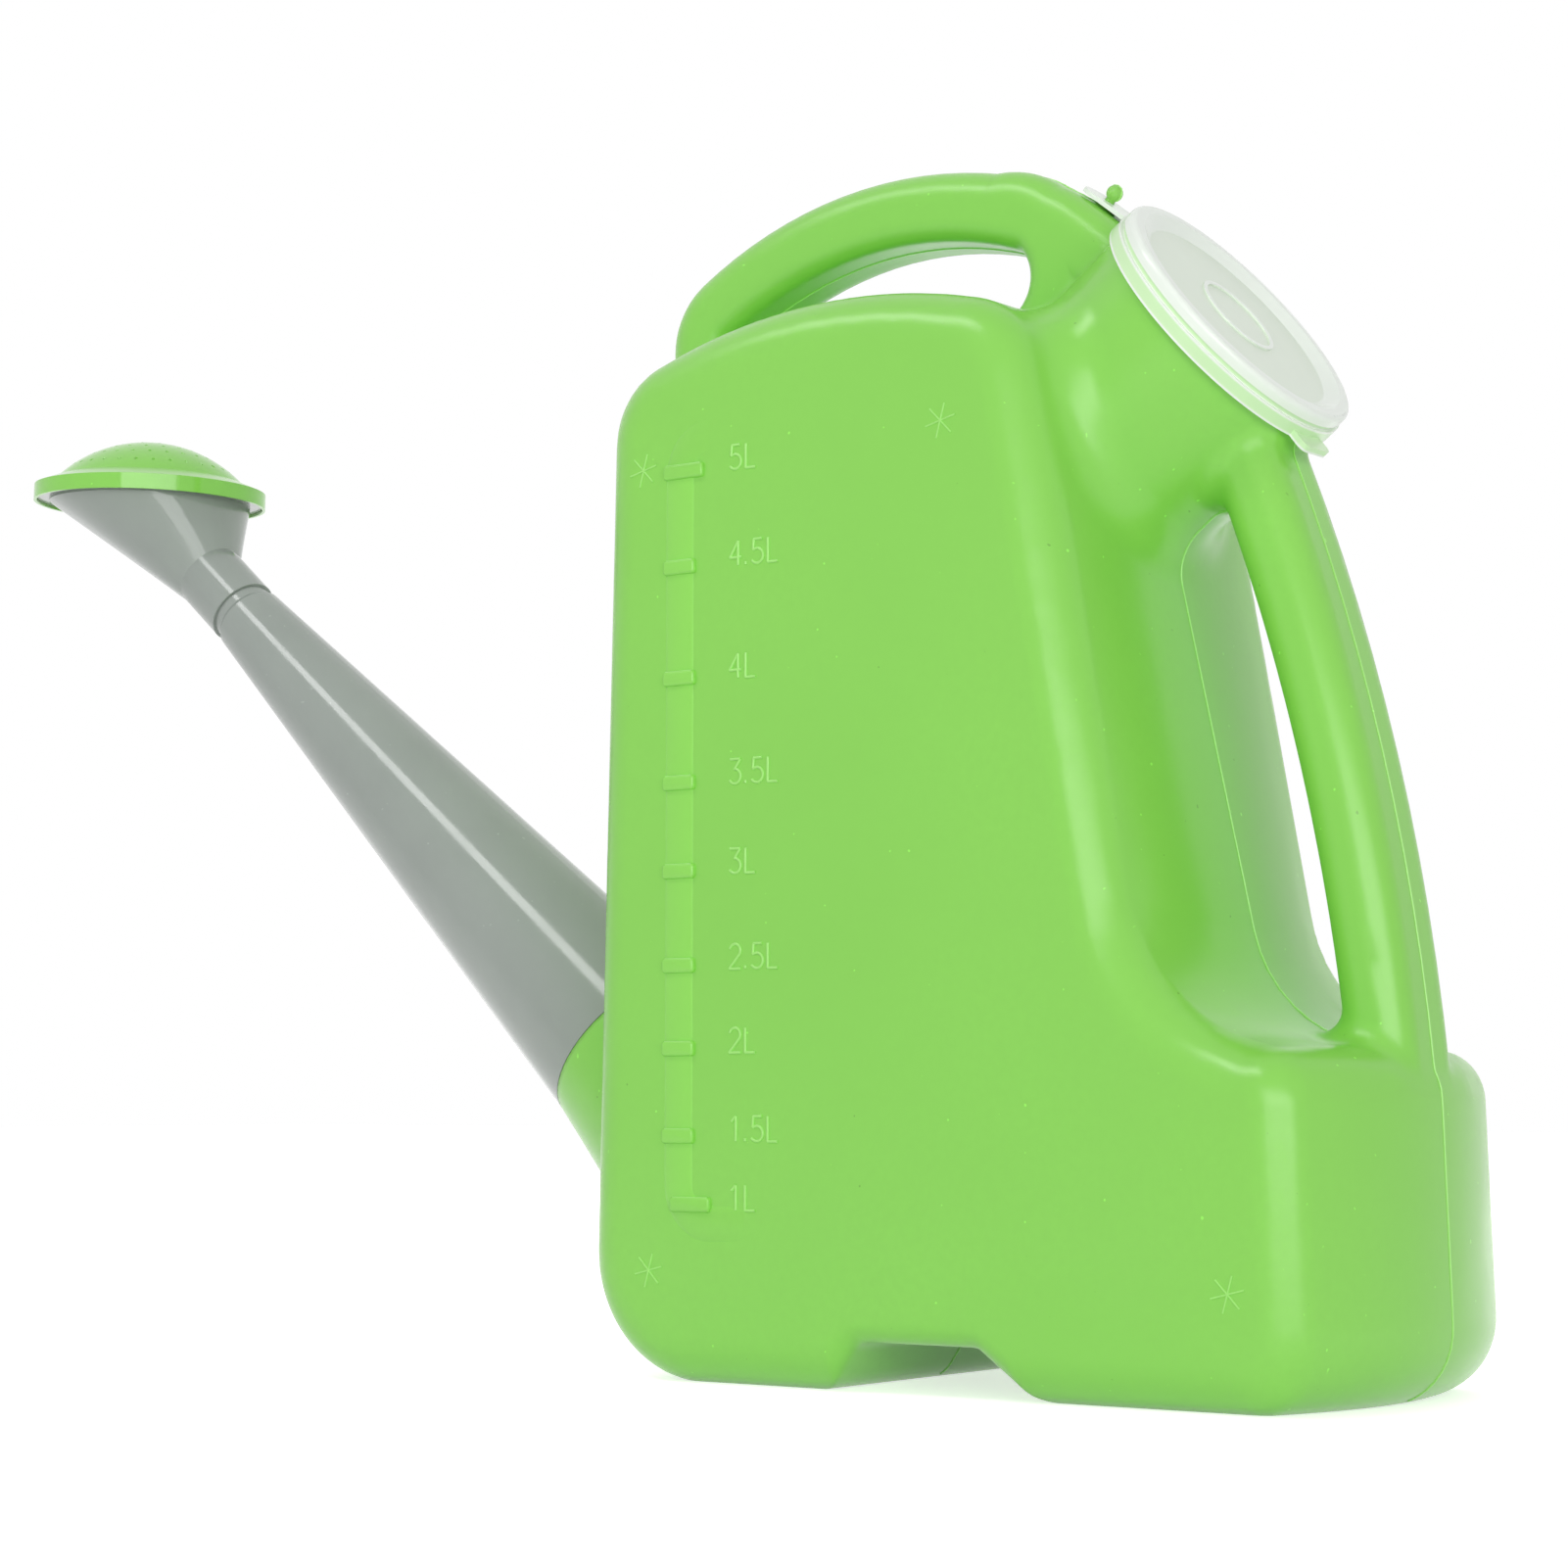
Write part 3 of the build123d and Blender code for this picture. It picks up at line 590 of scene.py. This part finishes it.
def outer_section(node, covers):
    """Segments where the mid-plane cuts a node's outer skin.

    Those at the floor or under one of the covering nodes are left out.
    """
    skin = bmesh.new()
    skin.from_mesh(nodes[node].data)
    walls = BVHTree.FromBMesh(skin)
    cover_skins = [surface(cover) for cover in covers]
    everything = skin.verts[:] + skin.edges[:] + skin.faces[:]
    cut = bmesh.ops.bisect_plane(skin, geom=everything, plane_co=(0, 0, 0), plane_no=(0, 1, 0))
    segments = []
    for edge in cut["geom_cut"]:
        if not isinstance(edge, bmesh.types.BMEdge):
            continue
        first, second = (vert.co.copy() for vert in edge.verts)
        middle = (first + second) / 2
        outward = sum((face.normal for face in edge.link_faces), Vector()).normalized()
        probe = middle + outward * BEAD_RADIUS
        enclosed = any(walls.ray_cast(probe, Vector((0, side, 0)))[0] for side in (-1, 1))
        covered = any(cover.find_nearest(middle)[3] < BEAD_STEP for cover in cover_skins)
        if not enclosed and not covered and middle.z > BEAD_STEP:
            segments.append((first, second))
    skin.free()
    return segments


def chains(segments):
    """Segments joined end to end into lines."""
    def key(point):
        return tuple(round(value, JOIN_DIGITS) for value in point)

    beside = {}
    for segment in segments:
        for point, other in (segment, segment[::-1]):
            beside.setdefault(key(point), {})[key(other)] = other
    lines = []
    while beside:
        loose = [place for place, others in beside.items() if len(others) == 1]
        here = loose[0] if loose else next(iter(beside))
        line = [Vector(here)]
        while beside.get(here):
            there, point = beside[here].popitem()
            beside[there].pop(here, None)
            line.append(point)
            here = there
        beside = {place: others for place, others in beside.items() if others}
        lines.append(line)
    return lines


def parting_line():
    """The fine bead around the tank where the halves of its mould met, in the lighter green of
    painted highlight.
    """
    build = bmesh.new()
    for line in chains(outer_section("tank_body", ("spout_tube", "filler_lid", "lid_strap"))):
        spaced = line[:1]
        for point in line[1:]:
            if (point - spaced[-1]).length > BEAD_STEP:
                spaced.append(point)
        if len(spaced) > 2:
            add_rod(build, spaced, BEAD_RADIUS, BEAD_SIDES)
    mark("parting_line", build, highlight_green)


litre_strip()
litre_bars()
litre_numerals()
star_marks()
parting_line()


def soft_box(name, place, target, width, height, watts, mirrored):
    """A rectangular soft light that faces a target, and may show in glossy surfaces."""
    data = bpy.data.lights.new(name, "AREA")
    data.shape = "RECTANGLE"
    data.size = width
    data.size_y = height
    data.energy = watts
    lamp = bpy.data.objects.new(name, data)
    lamp.location = place
    lamp.rotation_euler = (Vector(target) - Vector(place)).to_track_quat("-Z", "Y").to_euler()
    lamp.visible_glossy = mirrored
    scene.collection.objects.link(lamp)


def shown(tree):
    """1 for rays that show the background, straight, mirrored or through glass, or else 0."""
    path = tree.nodes.new("ShaderNodeLightPath").outputs
    mirrored = combine(tree, "MAXIMUM", path["Is Camera Ray"], path["Is Glossy Ray"])
    return combine(tree, "MAXIMUM", mirrored, path["Is Transmission Ray"])


def pale_floor():
    """A pale floor that keeps the can's shadow."""
    mesh = bpy.data.meshes.new("floor")
    build = bmesh.new()
    bmesh.ops.create_grid(build, x_segments=2, y_segments=2, size=FLOOR_REACH)
    build.to_mesh(mesh)
    build.free()
    floor = bpy.data.objects.new("floor", mesh)
    scene.collection.objects.link(floor)
    mat, tree, shader, place = material("floor_pale")
    colour = mix_colour(tree, noise(tree, place, *FLOOR_CLOUDS), *FLOOR_SHADES)
    tree.links.new(colour, shader.inputs["Base Color"])
    set_inputs(shader, Roughness=FLOOR_ROUGHNESS, Emission_Color=WHITE)
    glow = ramp(tree, shown(tree), 0.0, 1.0, 0.0, FLOOR_GLOW)
    tree.links.new(glow, shader.inputs["Emission Strength"])
    mesh.materials.append(mat)


def white_surround():
    """A surround that shows as white, and lights the can less than that."""
    world = bpy.data.worlds.new("studio")
    world.use_nodes = True
    tree = world.node_tree
    background = tree.nodes["Background"]
    set_inputs(background, Color=WHITE)
    strength = ramp(tree, shown(tree), 0.0, 1.0, SURROUND, 1.0)
    tree.links.new(strength, background.inputs["Strength"])
    scene.world = world


def camera():
    """The photograph's camera."""
    data = bpy.data.cameras.new("camera")
    data.sensor_width = CAMERA_SENSOR
    data.lens = CAMERA_LENS
    eye = bpy.data.objects.new("camera", data)
    eye.location = CAMERA_PLACE
    eye.rotation_euler = (math.radians(90 + CAMERA_PITCH), 0, math.radians(CAMERA_HEADING))
    scene.collection.objects.link(eye)
    scene.camera = eye


pale_floor()
white_surround()
for lamp_values in LAMPS:
    soft_box(*lamp_values)
camera()
scene.view_settings.view_transform = "Standard"
